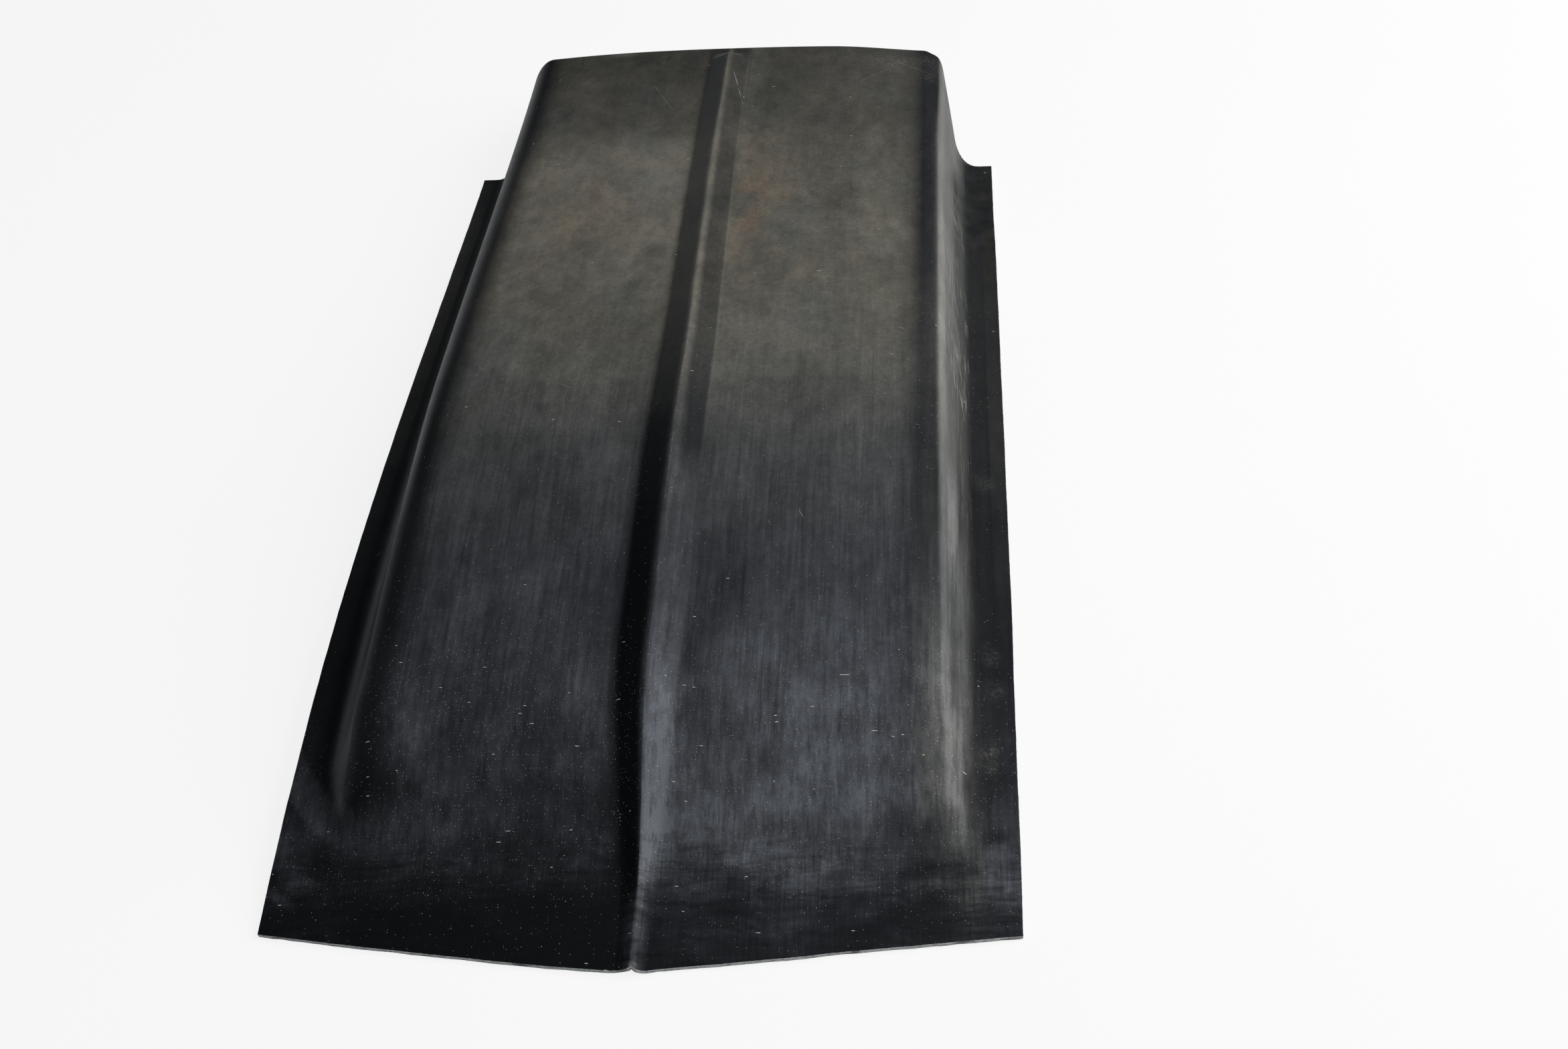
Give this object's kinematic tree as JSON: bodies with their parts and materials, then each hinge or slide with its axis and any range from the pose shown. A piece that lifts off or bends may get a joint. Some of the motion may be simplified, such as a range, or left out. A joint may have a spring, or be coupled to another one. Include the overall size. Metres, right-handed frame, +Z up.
{
  "type": "bonnet scoop",
  "caption": "Long moulded bonnet scoop with a pointed nose, a middle ridge, side flanges and an open raked rear end.",
  "frame": {"origin": "middle of the footprint, on the plane that the nose edge and the rear flange ends rest on", "axes": "+X across, to the right with the nose nearest the viewer, -Y towards the pointed nose, +Y towards the open rear, +Z up"},
  "size_m": [0.62, 1.3516, 0.1456],
  "materials": {
    "black_gel_coat": "semi-gloss black gel coat on glass-fibre laminate"
  },
  "bodies": {
    "root": {"scoop_shell": "black_gel_coat"}
  },
  "joints": []
}
